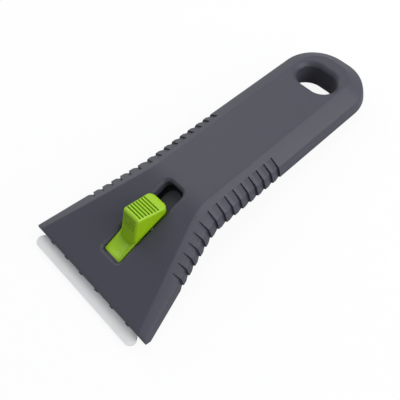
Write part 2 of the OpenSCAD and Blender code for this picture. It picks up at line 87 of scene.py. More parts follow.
def halfWidth(y):
    if y <= flareEnd:
        return bodyForm["lipHalf"] - y * tanFlare
    if y <= neckY:
        radius = bodyForm["neckRadius"]
        return bodyForm["handleHalf"] + radius - math.sqrt(radius ** 2 - (neckY - y) ** 2)
    if y <= tailY:
        return bodyForm["handleHalf"] - bodyForm["handleDraw"] * (y - neckY) / (tailY - neckY)
    radius = bodyForm["tailRadius"]
    return (bodyForm["handleHalf"] - bodyForm["handleDraw"] - radius
            + math.sqrt(max(0, radius ** 2 - (y - tailY) ** 2)))


def sideAngle(y):
    if y <= flareEnd:
        return math.radians(bodyForm["flareAngle"])
    if y <= neckY:
        return math.asin((neckY - y) / bodyForm["neckRadius"])
    if y <= tailY:
        return 0
    return math.asin(min(1, (y - tailY) / bodyForm["tailRadius"]))


def toFrame(x, y, z):
    return Vector((x * mm, (y - heelY) * mm, z * mm))


def onBlade(x, along, above):
    # a point on the blade plane, measured along it from the lip and at right angles to it
    tilt = math.radians(bladeTilt)
    return toFrame(x, along * math.cos(tilt) - above * math.sin(tilt),
                   bodyForm["seam"][0] + along * math.sin(tilt) + above * math.cos(tilt))


def mix(a, b, t):
    return [p + (q - p) * t for p, q in zip(a, b)]


# Helpers for meshes

# the angle in degrees from which an edge shows as sharp
sharpAngles = {"shell": 17, "slider": 32, "blade": 30}


def finishPiece(bm, name, sharpAngle=sharpAngles["shell"]):
    # welds, turns the faces outward, marks the sharp edges and links the object
    bmesh.ops.remove_doubles(bm, verts=bm.verts, dist=2e-7)
    bmesh.ops.dissolve_degenerate(bm, edges=bm.edges, dist=1e-7)
    if bm.calc_volume(signed=True) < 0:
        bmesh.ops.reverse_faces(bm, faces=bm.faces)
    for face in bm.faces:
        face.smooth = True
    for edge in bm.edges:
        if len(edge.link_faces) == 2:
            edge.smooth = edge.calc_face_angle(0) < math.radians(sharpAngle)
    mesh = bpy.data.meshes.new(name)
    bm.to_mesh(mesh)
    bm.free()
    piece = bpy.data.objects.new(name, mesh)
    bpy.context.scene.collection.objects.link(piece)
    return piece


def cutAway(piece, cutters, operation="DIFFERENCE", sharpAngle=sharpAngles["shell"]):
    # cuts the cutters out of piece, or joins them to it, and leaves one finished mesh
    name = piece.name
    for cutter in cutters:
        step = piece.modifiers.new("cut", "BOOLEAN")
        step.operation = operation
        step.solver = "EXACT"
        step.object = cutter
    bpy.context.view_layer.update()
    done = piece.evaluated_get(bpy.context.evaluated_depsgraph_get())
    bm = bmesh.new()
    bm.from_mesh(done.to_mesh())
    for thing in [piece] + list(cutters):
        bpy.data.objects.remove(thing)
    return finishPiece(bm, name, sharpAngle)


def gridFrom(bm, rows):
    # one grid whose points are moved to the given rows, returned column by column
    wide, tall = len(rows[0]), len(rows)
    made = bmesh.ops.create_grid(bm, x_segments=wide - 1, y_segments=tall - 1, size=1)["verts"]
    low = min(v.co.x for v in made)
    span = max(v.co.x for v in made) - low
    lowY = min(v.co.y for v in made)
    spanY = max(v.co.y for v in made) - lowY
    grid = {}
    for vert in made:
        column = round((vert.co.x - low) / span * (wide - 1))
        row = round((vert.co.y - lowY) / spanY * (tall - 1))
        grid[row, column] = vert
    for (row, column), vert in grid.items():
        vert.co = rows[row][column]
    return grid


def loftRings(rings):
    # a closed solid through rings of points
    bm = bmesh.new()
    loops = []
    for points in rings:
        ring = bmesh.ops.create_circle(bm, cap_ends=False, segments=len(points), radius=1)["verts"]
        ring.sort(key=lambda vert: math.atan2(vert.co.y, vert.co.x))
        for vert, point in zip(ring, points):
            vert.co = point
        loops.append({edge for vert in ring for edge in vert.link_edges})
    for first, second in zip(loops, loops[1:]):
        bmesh.ops.bridge_loops(bm, edges=list(first | second))
    bmesh.ops.holes_fill(bm, edges=[e for e in bm.edges if e.is_boundary], sides=0)
    bmesh.ops.recalc_face_normals(bm, faces=bm.faces)
    return bm


def ringLoft(levels, place, segments=64):
    # the same, where place(turnX, turnY, level) gives each ring's points
    turns = [2 * math.pi * (i + 0.5) / segments for i in range(segments)]
    return loftRings([[place(math.cos(a), math.sin(a), level) for a in turns] for level in levels])


def roundedPlan(turnX, turnY, half, low, high, corners):
    # a rectangle seen from above, with its own corner radius in front and behind
    corner = corners[0 if turnY < 0 else 1]
    return (math.copysign(half - corner, turnX) + turnX * corner,
            (low + corner if turnY < 0 else high - corner) + turnY * corner)


def uprights(bm):
    return [edge for edge in bm.edges if edge.verts[0].co.xy == edge.verts[1].co.xy]


def softenEdges(bm, edges, width, segments):
    bmesh.ops.bevel(bm, geom=edges, offset=width, affect="EDGES", segments=segments, profile=0.5,
                    material=-1)


def bladeBlock(name, x, along, above):
    # block from one corner to the other, square to the blade plane
    bm = bmesh.new()
    bmesh.ops.create_cube(bm, size=1)
    for vert in bm.verts:
        vert.co = onBlade(x[0] if vert.co.x < 0 else x[1], along[0] if vert.co.y < 0 else along[1],
                          above[0] if vert.co.z < 0 else above[1])
    return finishPiece(bm, name)


# The two shells

shellForm = {
    "draft": (0.66, 0.86),  # at the lip, and how much more at the handle
    "bevel": (3.4, 4.0),
    "lowBevel": (2.5, 4.0),
    "partingGroove": 0.1,
    "arrisRound": 0.4,
    "bevelRound": 0.5,
    "lipRound": 0.35,
    "lipBlend": 8.8,  # length over which the sections turn square to the wall
    "innerStep": 2.5,  # from the bevel to the section's last point
    "cornerSteps": 5,
    "rowGap": 2.0,
    "tailRows": 26,
    "acrossTop": 11,
}
ribForm = {
    "count": 15,
    "onHandle": 10,
    "pitch": 4.55,
    "flarePitch": 4.1,
    "last": 86.9,
    "depth": 1.0,
    # plan of one cut: out from the wall in shares of the depth, and along it in mm
    "plan": ((2.2, 0.04), (0, 0.03), (-0.95, 0), (-1, -0.05), (-0.96, -0.15), (0, -2.75),
             (0.07, -2.94), (2.2, -2.94)),
    "onBevel": 0.6,  # share of the bevel that the ribs cross
    "shallow": 0.55,  # share of the depth that is left at the ribs' inner ends
}
heightLines = ("top", "arris", "seam", "wall", "base")


def share(y):
    return min(1, max(0, y) / bodyForm["bendEnd"])


def insets(y):
    # draft of the wall, width of the upper bevel and width of the lower one
    return [shellForm[key][0] + shellForm[key][1] * share(y) for key in ("draft", "bevel", "lowBevel")]


def shellRows():
    # stations along the outline
    lip = shellForm["lipRound"]
    rows = [lip * (1 - math.cos(math.radians(a))) for a in (0, 18, 36, 54, 72, 90)]
    rows += [shellForm["lipBlend"], flareEnd, neckY, bodyForm["bendStart"], bodyForm["bendEnd"]]
    rows += [tailY + bodyForm["tailRadius"] * math.sin(math.pi / 2 * i / shellForm["tailRows"])
             for i in range(shellForm["tailRows"] + 1)]
    rows.sort()
    filled = [rows[0]]
    for row in rows[1:]:
        gap = row - filled[-1]
        parts = max(1, math.ceil(gap / shellForm["rowGap"]))
        filled += [row - gap + gap * i / parts for i in range(1, parts + 1)]
    return filled


def roundedLine(corners, radii, heights):
    # softens the marked corners of a section whose points are [inset, share of each height line]
    def spot(c):
        return Vector((c[0], sum(w * h for w, h in zip(c[1:], heights))))

    def towards(corner, other, radius):
        return mix(corner, other, min(0.48, radius / (spot(other) - spot(corner)).length))

    steps = shellForm["cornerSteps"]
    line = []
    for i, corner in enumerate(corners):
        if not radii[i]:
            line.append(corner)
            continue
        before = towards(corner, corners[i - 1], radii[i])
        after = towards(corner, corners[i + 1], radii[i])
        for k in range(steps):
            t = k / (steps - 1)
            line.append(mix(mix(before, corner, t), mix(corner, after, t), t))
    return line


def shellSection(y, upper):
    # from the parting line, over the wall's edge and the bevel, to the flat top or underside
    draft, bevel, lowBevel = insets(y)
    groove, step = shellForm["partingGroove"], shellForm["innerStep"]
    seam = [draft / 2, 0, 0, 1, 0, 0]
    if upper:
        arris = [draft, 0, 1, 0, 0, 0]
        corners = [[seam[0] + groove] + seam[1:], mix(seam, arris, groove / 1.8), mix(seam, arris, 0.5),
                   arris, [draft + bevel / 2, 0.5, 0.5, 0, 0, 0], [draft + bevel, 1, 0, 0, 0, 0],
                   [draft + bevel + step, 1, 0, 0, 0, 0]]
    else:
        wall = [0, 0, 0, 0, 1, 0]
        corners = [[seam[0] + groove] + seam[1:], mix(seam, wall, groove / 3), mix(seam, wall, 0.5),
                   wall, [lowBevel / 2, 0, 0, 0, 0.5, 0.5], [lowBevel, 0, 0, 0, 0, 1],
                   [lowBevel + step, 0, 0, 0, 0, 1]]
    radii = (0, 0, 0, shellForm["arrisRound"], 0, shellForm["bevelRound"], 0)
    return roundedLine(corners, radii, [lineHeight(line, y) for line in heightLines])


def shellPoint(y, point, side):
    # a section's point on the body, with the lip's edge rounded
    angle = sideAngle(y)
    inset, shares = point[0], point[1:]
    back = y - inset * math.sin(angle) * min(1, y / shellForm["lipBlend"])
    x = halfWidth(back) - inset / cosFlare if y <= flareEnd else halfWidth(y) - inset * math.cos(angle)
    if y <= flareEnd:
        back = min(back, y)
    z = sum(w * lineHeight(line, back) for w, line in zip(shares, heightLines))
    lip = shellForm["lipRound"]
    if y < lip:
        drop = lip - math.sqrt(max(0, lip ** 2 - (lip - y) ** 2))
        x -= drop
        z += drop * (shares[3] + shares[4]) - drop * (shares[0] + shares[1])
    return side * x, back, z


def shellSkin(upper):
    rows = []
    for y in shellRows():
        section = shellSection(y, upper)
        right = [shellPoint(y, p, 1) for p in section]
        inner = right[-1]
        count = shellForm["acrossTop"]
        middle = [(inner[0] * (1 - 2 * i / (count + 1)), inner[1], inner[2]) for i in range(1, count + 1)]
        left = [shellPoint(y, p, -1) for p in section[::-1]]
        rows.append([toFrame(*p) for p in right + middle + left])
    # the straight end of the tail, between the two sides' last sections
    deep = len(section)
    across = shellForm["acrossTop"] + 1
    cap = [[rows[-1][i].lerp(rows[-1][-1 - i], k / across) for k in range(across + 1)]
           for i in range(deep)]
    bm = bmesh.new()
    grid = gridFrom(bm, rows)
    last = len(rows[0]) - 1
    edges = [bm.edges.get((grid[r, c], grid[r + 1, c])) for c in (0, last) for r in range(len(rows) - 2)]
    bmesh.ops.bridge_loops(bm, edges=edges)
    gridFrom(bm, cap)
    bmesh.ops.remove_doubles(bm, verts=bm.verts, dist=1e-6)
    bmesh.ops.holes_fill(bm, edges=[e for e in bm.edges if e.is_boundary], sides=0)
    bmesh.ops.recalc_face_normals(bm, faces=bm.faces)
    return bm


def ribSteps():
    return [ribForm["last"] - min(i, ribForm["onHandle"] - 1) * ribForm["pitch"]
            - max(0, i - ribForm["onHandle"] + 1) * ribForm["flarePitch"] for i in range(ribForm["count"])]


def ribCutter(upper):
    # each rib is a step with a ramp in front of it, cut across the bevel and down the wall
    whole = bmesh.new()
    plan = ribForm["plan"]
    for y in ribSteps():
        draft, bevel, _ = insets(y)
        angle = sideAngle(y)
        top, arris, seam, wall, _ = [lineHeight(line, y - draft * math.sin(angle)) for line in heightLines]
        # the cut's track across the body, as inset and height, with the way out of the surface there
        bevelWay = Vector((top - arris, bevel)).normalized()
        wallWay = Vector((arris - wall, draft)).normalized()
        mitre = (bevelWay + wallWay) / (1 + bevelWay.dot(wallWay))
        if upper:
            inner = ribForm["onBevel"]
            track = ((draft + bevel * inner, arris + (top - arris) * inner, bevelWay * ribForm["shallow"]),
                     (draft, arris, mitre), (draft / 2 - 0.2, seam - 1.5, wallWay))
        else:
            track = ((draft, arris, wallWay), (-0.12, wall - 1, wallWay))
        for side in (-1, 1):
            rings = []
            for inset, high, way in track:
                ring = []
                for out, along in plan:
                    depth = out * ribForm["depth"] if out < 0 else out / way.length
                    normal = -inset + way.x * depth
                    x = halfWidth(y) + normal * math.cos(angle) - along * math.sin(angle)
                    back = y + normal * math.sin(angle) + along * math.cos(angle)
                    ring.append(toFrame(side * x, back, high + way.y * depth))
                rings.append(ring)
            piece = loftRings(rings)
            mesh = bpy.data.meshes.new("rib")
            piece.to_mesh(mesh)
            piece.free()
            whole.from_mesh(mesh)
            bpy.data.meshes.remove(mesh)
    return finishPiece(whole, "ribCutter")


# Openings in the shells

slotForm = {
    "halfWidth": 5,
    "along": (13.4, 50.9),
    "corners": (1.2, 2.5),
    "rim": 1.4,
    "rimEnds": (12.25, 48.5),
    "rimRows": 9,  # where the rim follows the bend, and how far apart in mm
    "rimRowGap": 0.75,
    "notchX": 4.6,
    "notchRadius": 1.4,
    "notches": (32, 40.5),  # along the blade plane, one for each end of the slide
}
hangForm = {
    "y": 134.8,
    "reach": 2.95,  # from the middle to the centre of each round end
    "radius": 7,
    "rim": 2.7,
    "rimDepth": 1.95,
    "lowRim": 2.6,
    "lowRimDepth": 3.0,
}


def slotRing(turnX, turnY, ends, grow=0):
    return roundedPlan(turnX, turnY, slotForm["halfWidth"] + grow, ends[0] - grow, ends[1] + grow,
                       [corner + grow for corner in slotForm["corners"]])


def slotCutter():
    def place(turnX, turnY, level):
        return onBlade(*slotRing(turnX, turnY, slotForm["along"]), level)

    return finishPiece(ringLoft((-1, 30), place), "slotCutter")


def edgeRound(deep, wide, steps, lift, start=45):
    # levels of a funnel that starts with an edge and runs out softly, just above the face above it
    first = math.radians(start)
    levels = []
    for i in range(steps + 1):
        turn = first + (math.pi / 2 - first) * i / steps
        levels.append((lift - (deep + lift) * (1 - math.sin(turn)) / (1 - math.sin(first)),
                       wide * (math.cos(first) - math.cos(turn)) / math.cos(first)))
    return levels


def slotRimCutter():
    # a rounded chamfer: each level is a depth below the top face and how far it stands out there
    rim = slotForm["rim"]
    levels = [(-rim - 0.15, -0.06)] + edgeRound(rim, rim * 1.15, 6, 0.03) + [(0.6, rim * 1.3)]

    def place(turnX, turnY, level):
        depth, grow = level
        return Vector((*slotRing(turnX, turnY, slotForm["rimEnds"], grow), depth))

    bm = ringLoft(levels, place)
    for y in [bodyForm["bendStart"] + slotForm["rimRowGap"] * i for i in range(slotForm["rimRows"])]:
        bmesh.ops.bisect_plane(bm, geom=bm.verts[:] + bm.edges[:] + bm.faces[:], plane_co=(0, y, 0),
                               plane_no=(0, 1, 0))
    for vert in bm.verts:
        vert.co = toFrame(vert.co.x, vert.co.y, lineHeight("top", vert.co.y) + vert.co.z)
    return finishPiece(bm, "slotRimCutter")


def roundHole(name, x, along, radius, levels, segments):
    # a round cutter that stands square on the blade plane
    def place(turnX, turnY, level):
        return onBlade(x + turnX * radius, along + turnY * radius, level)

    return finishPiece(ringLoft(levels, place, segments), name)


def slotNotches():
    x, radius = slotForm["notchX"], slotForm["notchRadius"]
    return [roundHole("notchCutter", side * x, along, radius, (-1, 25), 24)
            for side in (-1, 1) for along in slotForm["notches"]]


def hangCutter():
    # the levels run up the hole: depth below the top face, and how far the wall stands out there
    topZ = lineHeight("top", hangForm["y"])
    thick = topZ - lineHeight("base", hangForm["y"])
    levels = [(-thick - 1, hangForm["lowRim"] * 1.25)]
    for i in range(6):
        turn = math.pi / 2 * i / 5
        levels.append((-thick + hangForm["lowRimDepth"] * math.sin(turn),
                       hangForm["lowRim"] * max(0.001, math.cos(turn))))
    levels += edgeRound(hangForm["rimDepth"], hangForm["rim"], 8, 0.012)
    levels.append((0.6, hangForm["rim"] * 1.25))
    fall = math.radians(bodyForm["handleFall"])

    def place(turnX, turnY, level):
        depth, grow = level
        x = math.copysign(hangForm["reach"], turnX) + turnX * (hangForm["radius"] + grow)
        y = turnY * (hangForm["radius"] + grow)
        return toFrame(x, hangForm["y"] + y * math.cos(fall) + depth * math.sin(fall),
                       topZ - y * math.sin(fall) + depth * math.cos(fall))

    return finishPiece(ringLoft(levels, place, 72), "hangCutter")


def drill(x, y, radius, low, high):
    def place(turnX, turnY, level):
        return toFrame(x + turnX * radius, y + turnY * radius, level)

    return finishPiece(ringLoft((low, high), place, 32), "drill")


mouthForm = {
    "halfWidth": 30,
    "height": 0.55,
    "depth": 3.6,
    "ribs": (-24, -14.5, -5, 5, 14.5, 24),
    "ribHalf": 1.0,
    "ribReach": 0.22,  # how far the ribs look out from under the lip
    "ribHigh": (0.12, 0.95),
}
# room inside each shell as half widths, along the blade plane and above it
upperRooms = {
    "clampPocket": (17.5, (3.4, 22.2), (-1, 1.7)),
    "footPocket": (11.4, (14, 52), (-1, 1.9)),
    "tailRoom": (4.3, (50, 59.4), (-1.8, 0.3)),
}
lowerRooms = {
    "carrierPocket": (12.8, (6, 51.5), (-3.9, 2)),
    "tailRoom": (4.3, (50, 59.4), (-1.8, 3)),
}
bladeRoom = {
    "halfWidths": (31.5, 19),  # in front and behind
    "along": (7.4, 22.8),
    "high": (-1.55, 3),
    "front": (-12, 7.5),
}


def mouthCutters():
    edges = [-mouthForm["halfWidth"]]
    for rib in mouthForm["ribs"]:
        edges += [rib - mouthForm["ribHalf"], rib + mouthForm["ribHalf"]]
    edges.append(mouthForm["halfWidth"])
    return [bladeBlock("mouthCutter", (edges[i], edges[i + 1]), (-3, mouthForm["depth"]),
                       (-1, mouthForm["height"])) for i in range(0, len(edges), 2)]


def guideRibs():
    half, reach = mouthForm["ribHalf"] - 0.2, mouthForm["ribReach"]
    return [bladeBlock("guideRib", (rib - half, rib + half), (-reach, 3), mouthForm["ribHigh"])
            for rib in mouthForm["ribs"]]


def roomCutters(rooms):
    return [bladeBlock(name, (-half, half), along, high) for name, (half, along, high) in rooms.items()]


upperShell = finishPiece(shellSkin(True), "upperShellFinished")
upperShell = cutAway(upperShell, [slotCutter(), slotRimCutter(), hangCutter(), ribCutter(True)]
                     + roomCutters(upperRooms) + slotNotches() + mouthCutters())
upperShell = cutAway(upperShell, guideRibs(), operation="UNION")
print("upper shell:", len(upperShell.data.polygons), "faces")

screwForm = {
    "places": ((20.5, 29), (-20.5, 29), (12, 64), (-12, 64), (0, 116)),
    "seat": 2.2,
    "headHole": 3.0,
}


def bladeRoomCutters():
    # room for the blade, narrower towards its back
    bm = bmesh.new()
    bmesh.ops.create_cube(bm, size=1)
    for vert in bm.verts:
        end = 0 if vert.co.y < 0 else 1
        vert.co = onBlade(math.copysign(bladeRoom["halfWidths"][end], vert.co.x), bladeRoom["along"][end],
                          bladeRoom["high"][0 if vert.co.z < 0 else 1])
    half = bladeRoom["halfWidths"][0]
    return [finishPiece(bm, "bladeRoom"),
            bladeBlock("bladeFront", (-half, half), bladeRoom["front"], bladeRoom["high"])]


def lowerCutters():
    holes = [drill(x, y, screwForm["headHole"], -2, lineHeight("base", y) + screwForm["seat"])
             for x, y in screwForm["places"]]
    return [hangCutter(), ribCutter(False)] + holes + roomCutters(lowerRooms) + bladeRoomCutters()


lowerMesh = shellSkin(False)
# the front is cut back, so that the blade can lie low
chamferEnd = 4
chamferRise = bodyForm["seam"][0] / chamferEnd
bmesh.ops.bisect_plane(lowerMesh, geom=lowerMesh.verts[:] + lowerMesh.edges[:] + lowerMesh.faces[:],
                       plane_co=toFrame(0, chamferEnd, 0), plane_no=(0, -chamferRise, -1), clear_outer=True)
bmesh.ops.holes_fill(lowerMesh, edges=[e for e in lowerMesh.edges if e.is_boundary], sides=0)
lowerShell = finishPiece(lowerMesh, "lowerShellFinished")
lowerShell = cutAway(lowerShell, lowerCutters())
print("lower shell:", len(lowerShell.data.polygons), "faces")

# The thumb slider

sliderForm = {
    # the two ends of the grip's foot and of its crest, as y and height
    "gripFoot": ((20.45, 9.2), (40.2, 12.2)),
    "gripCrest": ((25.75, 25.6), (39.9, 20.5)),
    "gripCorners": (1.25, 2.3),
    "crestRound": 1.25,
    "footFillet": 0.8,
    "frontHalf": 4.35,
    "rearHalf": 4.68,
    "flareFront": -0.3,
    "flareRear": 0.7,
    "gripRun": (20.4, 19.8),  # where the grip's width starts to grow, and over which length
    "flareRise": 3,  # height above the shell's top face over which the flare comes in
    # count, inset from the grip's sides, width and depth
    "topGrooves": (7, 0.62, 0.7, 1.1),
    "topGrooveSpan": (27.5, 35.6),  # y of the first and the last
    "frontGrooves": (5, 0.9, 0.5, 0.35),
    "frontGrooveSpan": (0.58, 0.31),  # first place up the front, and how far they reach from it
    # the tab and the foot, measured on the blade plane
    "tab": (13.8, 23.53),
    "tabHalf": 4.6,
    "tabWall": 3.7,
    "tabHigh": (2.5, 3.95),
    "tabLow": 1.15,
    "tabCorner": 0.6,
    "tabRim": 0.12,
    "dishHigh": (2.15, 1.6),
    "dishPower": 2.4,  # higher is a flatter floor with steeper sides
    "footHalf": 4.7,
    "foot": (23.2, 40.7),
    "footHigh": (4.0, 5.75),
    "footLow": 1.1,
    "footCorner": 1.2,
    "wideFoot": (8, 22.4, (-0.25, 1.5)),
    "springPocket": ((3.3, 8.1), (27, 39.4), (0.7, 4.1)),
    "springBridge": (3.8, (27, 27.7)),
}


def gripHalf(y, z):
    start, run = sliderForm["gripRun"]
    t = min(1, max(0, (y - start) / run))
    above = min(1, max(0, (z - lineHeight("top", y)) / sliderForm["flareRise"]))
    flare = sliderForm["flareFront"] + (sliderForm["flareRear"] - sliderForm["flareFront"]) * t
    return sliderForm["frontHalf"] + (sliderForm["rearHalf"] - sliderForm["frontHalf"]) * t + flare * above


def thumbGrip():
    # rings up from the foot, then over the rounded crest
    foot = [Vector(end) for end in sliderForm["gripFoot"]]
    crest = [Vector(end) for end in sliderForm["gripCrest"]]
    radius = sliderForm["crestRound"]

    def lowered(drop):
        return [c.lerp(f, drop / (c.y - f.y)) for f, c in zip(foot, crest)]

    def place(turnX, turnY, level):
        (front, rear), inset, fillet = level
        x, y = roundedPlan(turnX, turnY, 4, front.x + inset, rear.x - inset,
                           [corner - inset for corner in sliderForm["gripCorners"]])
        z = front.y + (rear.y - front.y) * (y - front.x) / (rear.x - front.x)
        return toFrame(x / 4 * (gripHalf(y, z) - inset), y - (fillet if turnY < 0 else 0), z)

    shoulder = lowered(radius)
    levels = []
    for t in (0, 0.025, 0.05, 0.075, 0.1, 0.2, 0.3, 0.4, 0.5, 0.6, 0.7, 0.8, 0.9):
        levels.append(([f.lerp(c, t) for f, c in zip(foot, shoulder)], 0,
                       sliderForm["footFillet"] * max(0, 1 - t / 0.1) ** 2))
    for i in range(7):
        turn = math.pi / 2 * i / 6
        levels.append((lowered(radius * (1 - math.sin(turn)) + 1e-6), radius * (1 - math.cos(turn)), 0))
    return finishPiece(ringLoft(levels, place, 48), "thumbGrip", sharpAngles["slider"])


def grooveBar(middle, slope, half, wide, deep):
    # a bar across the grip, with a rounded underside, that cuts one groove
    bm = bmesh.new()
    bmesh.ops.create_cube(bm, size=1)
    for vert in bm.verts:
        vert.co = Vector((vert.co.x * 2 * half, vert.co.y * wide, vert.co.z * 2 * deep))
    low = [e for e in bm.edges if all(v.co.z < 0 for v in e.verts)]
    softenEdges(bm, low, wide * 0.35, 3)
    turn = Matrix.Rotation(slope, 4, "X")
    for vert in bm.verts:
        vert.co = toFrame(*(turn @ vert.co + Vector((0, middle[0], middle[1]))))
    return finishPiece(bm, "grooveBar")


def sliderGrooves():
    cutters = []
    crest, rear = [Vector(end) for end in sliderForm["gripCrest"]]
    slope = math.atan2(rear.y - crest.y, rear.x - crest.x)
    count, inset, wide, deep = sliderForm["topGrooves"]
    first, last = [(y - crest.x) / (rear.x - crest.x) for y in sliderForm["topGrooveSpan"]]
    for i in range(count):
        spot = crest.lerp(rear, first + (last - first) * i / (count - 1))
        cutters.append(grooveBar(spot, slope, gripHalf(*spot) - inset, wide, deep))
    foot = Vector(sliderForm["gripFoot"][0])
    lean = math.atan2(crest.y - foot.y, crest.x - foot.x) + math.pi
    count, inset, wide, deep = sliderForm["frontGrooves"]
    first, reach = sliderForm["frontGrooveSpan"]
    for i in range(count):
        spot = foot.lerp(crest, first + reach * i / (count - 1))
        cutters.append(grooveBar(spot, lean, gripHalf(*spot) - inset, wide, deep))
    return cutters


def sliderTab():
    # the flat tab in the slot, scooped out between two rims that rise towards the grip
    first, last = sliderForm["tab"]
    half, wall = sliderForm["tabHalf"], sliderForm["tabWall"]
    rows = []
    for along in [first + (last - first) * i / 12 for i in range(13)]:
        t = (along - first) / (last - first)
        rim, dish = [front + (rear - front) * t for front, rear in (sliderForm["tabHigh"],
                                                                    sliderForm["dishHigh"])]
        scoop = min(1, 4 * t)
        row = []
        for x in [-half] + [wall * math.sin(math.pi / 2 * i / 8) for i in range(-8, 9)] + [half]:
            side = min(1, abs(x) / wall)
            row.append((x, along, rim + (dish - rim) * scoop * (1 - side ** sliderForm["dishPower"])))
        rows.append(row)
    bm = bmesh.new()
    gridFrom(bm, rows)
    made = bmesh.ops.extrude_face_region(bm, geom=bm.faces[:])["geom"]
    for vert in [v for v in made if isinstance(v, bmesh.types.BMVert)]:
        vert.co.z = sliderForm["tabLow"]
    bmesh.ops.recalc_face_normals(bm, faces=bm.faces)
    corners = [e for e in uprights(bm)
               if e.verts[0].co.y < first + 0.1 and abs(e.verts[0].co.x) > half - 0.1]
    softenEdges(bm, corners, sliderForm["tabCorner"], 3)
    # the upper edges, apart from the one under the grip
    rim = [e for e in bm.edges if len(e.link_faces) == 2 and e.calc_face_angle(0) > math.radians(50)
           and min(v.co.z for v in e.verts) > 1.8 and min(v.co.y for v in e.verts) < last - 0.1]
    softenEdges(bm, rim, sliderForm["tabRim"], 2)
    for vert in bm.verts:
        vert.co = onBlade(*vert.co)
    return finishPiece(bm, "sliderTab", sharpAngles["slider"])


def sliderFoot():
    # the block in the slot and the wide foot on the carrier
    bm = bmesh.new()
    bmesh.ops.create_cube(bm, size=1)
    first, last = sliderForm["foot"]
    for vert in bm.verts:
        rear = vert.co.y > 0
        high = sliderForm["footHigh"][1 if rear else 0]
        vert.co = Vector((math.copysign(sliderForm["footHalf"], vert.co.x), last if rear else first,
                          high if vert.co.z > 0 else sliderForm["footLow"]))
    softenEdges(bm, [e for e in uprights(bm) if e.verts[0].co.y > first + 1], sliderForm["footCorner"], 4)
    for vert in bm.verts:
        vert.co = onBlade(*vert.co)
    foot = finishPiece(bm, "sliderFoot")
    half, front, high = sliderForm["wideFoot"]
    return [foot, bladeBlock("wideFoot", (-half, half), (front, last), high)]


def springPockets():
    # one for each arm of the detent spring, and a bridge between them
    (inner, outer), along, high = sliderForm["springPocket"]
    half, bridge = sliderForm["springBridge"]
    return [bladeBlock("springPocket", (-outer, -inner), along, high),
            bladeBlock("springPocket", (inner, outer), along, high),
            bladeBlock("springPocket", (-half, half), bridge, high)]


# a width or a length changed here can make the union lose faces, so the face count is printed
slider = cutAway(thumbGrip(), [sliderTab()] + sliderFoot(), "UNION", sharpAngles["slider"])
slider = cutAway(slider, sliderGrooves() + springPockets(), "DIFFERENCE", sharpAngles["slider"])
slider.name = "thumbSliderFinished"
print("thumb slider:", len(slider.data.polygons), "faces")

# The ceramic blade

bladeForm = {
    "halfWidth": 31,
    "tipRadius": 2.6,
    "edge": -5.4,
    "back": 13.3,
    "backHalf": 18,
    "top": -0.25,
    "thickness": 1.1,
    "grind": 1.4,
    "edgeLeft": 0.2,  # thickness that the grinding leaves at the edge
    "edgeRound": 0.1,
    "pegs": (10.6, 10.6, 1.7),  # to each side, along the blade plane, and radius
}


def bladePlate():
    radius, tipX = bladeForm["tipRadius"], bladeForm["halfWidth"] - bladeForm["tipRadius"]
    tipY = bladeForm["edge"] + radius
    run, rise = tipX - bladeForm["backHalf"], bladeForm["back"] - tipY
    turnEnd = math.atan2(run, rise) + math.asin(radius / math.hypot(run, rise))
    bm = bmesh.new()
    # a circle whose points go to the farthest point of the outline in their own direction
    bmesh.ops.create_circle(bm, cap_ends=True, segments=144, radius=1)
    for vert in bm.verts:
        onMiddle = abs(vert.co.x) <= 1e-6
        turn = math.copysign(1.57, vert.co.y) if onMiddle else math.atan2(vert.co.y, abs(vert.co.x))
        side = math.copysign(1, vert.co.x)
        if turn > turnEnd:
            vert.co = (side * bladeForm["backHalf"], bladeForm["back"], bladeForm["top"])
        else:
            vert.co = (side * (tipX + radius * math.cos(turn)), tipY + radius * math.sin(turn),
                       bladeForm["top"])
    bmesh.ops.remove_doubles(bm, verts=bm.verts, dist=1e-5)
    made = bmesh.ops.extrude_face_region(bm, geom=bm.faces[:])["geom"]
    for vert in [v for v in made if isinstance(v, bmesh.types.BMVert)]:
        vert.co.z -= bladeForm["thickness"]
    bmesh.ops.recalc_face_normals(bm, faces=bm.faces)
    # the edge is ground from below
    low = bladeForm["top"] - bladeForm["thickness"]
    ground = bladeForm["thickness"] - bladeForm["edgeLeft"]
    bmesh.ops.bisect_plane(bm, geom=bm.verts[:] + bm.edges[:] + bm.faces[:],
                           plane_co=(0, bladeForm["edge"] + bladeForm["grind"], low),
                           plane_no=(0, -ground, -bladeForm["grind"]), clear_outer=True)
    bmesh.ops.holes_fill(bm, edges=[e for e in bm.edges if e.is_boundary], sides=0)
    rim = [e for e in bm.edges if len(e.link_faces) == 2 and e.calc_face_angle(0) > math.radians(60)]
    softenEdges(bm, rim, bladeForm["edgeRound"], 2)
    for vert in bm.verts:
        vert.co = onBlade(*vert.co)
    plate = finishPiece(bm, "ceramicBladeFinished", sharpAngles["blade"])
    x, along, pegRadius = bladeForm["pegs"]
    holes = [roundHole("pegHole", side * x, along, pegRadius, (-3, 3), 32) for side in (-1, 1)]
    return cutAway(plate, holes, sharpAngle=sharpAngles["blade"])


blade = bladePlate()
print("blade:", len(blade.data.polygons), "faces")

# Materials


def newGroup(name, inputs, outputs):
    group = bpy.data.node_groups.new(name, "ShaderNodeTree")
    for label, kind, value in inputs:
        socket = group.interface.new_socket(name=label, in_out="INPUT", socket_type=kind)
        socket.default_value = value
    for label, kind in outputs:
        group.interface.new_socket(name=label, in_out="OUTPUT", socket_type=kind)
    return group, group.nodes.new("NodeGroupInput"), group.nodes.new("NodeGroupOutput")


def addNode(tree, kind, links=(), **values):
    # a node with its settings and its incoming links, given as (socket, source)
    node = tree.nodes.new(kind)
    for key, value in values.items():
        setattr(node, key, value)
    for socket, source in links:
        if hasattr(source, "is_linked"):
            tree.links.new(source, node.inputs[socket])
        else:
            node.inputs[socket].default_value = source
    return node


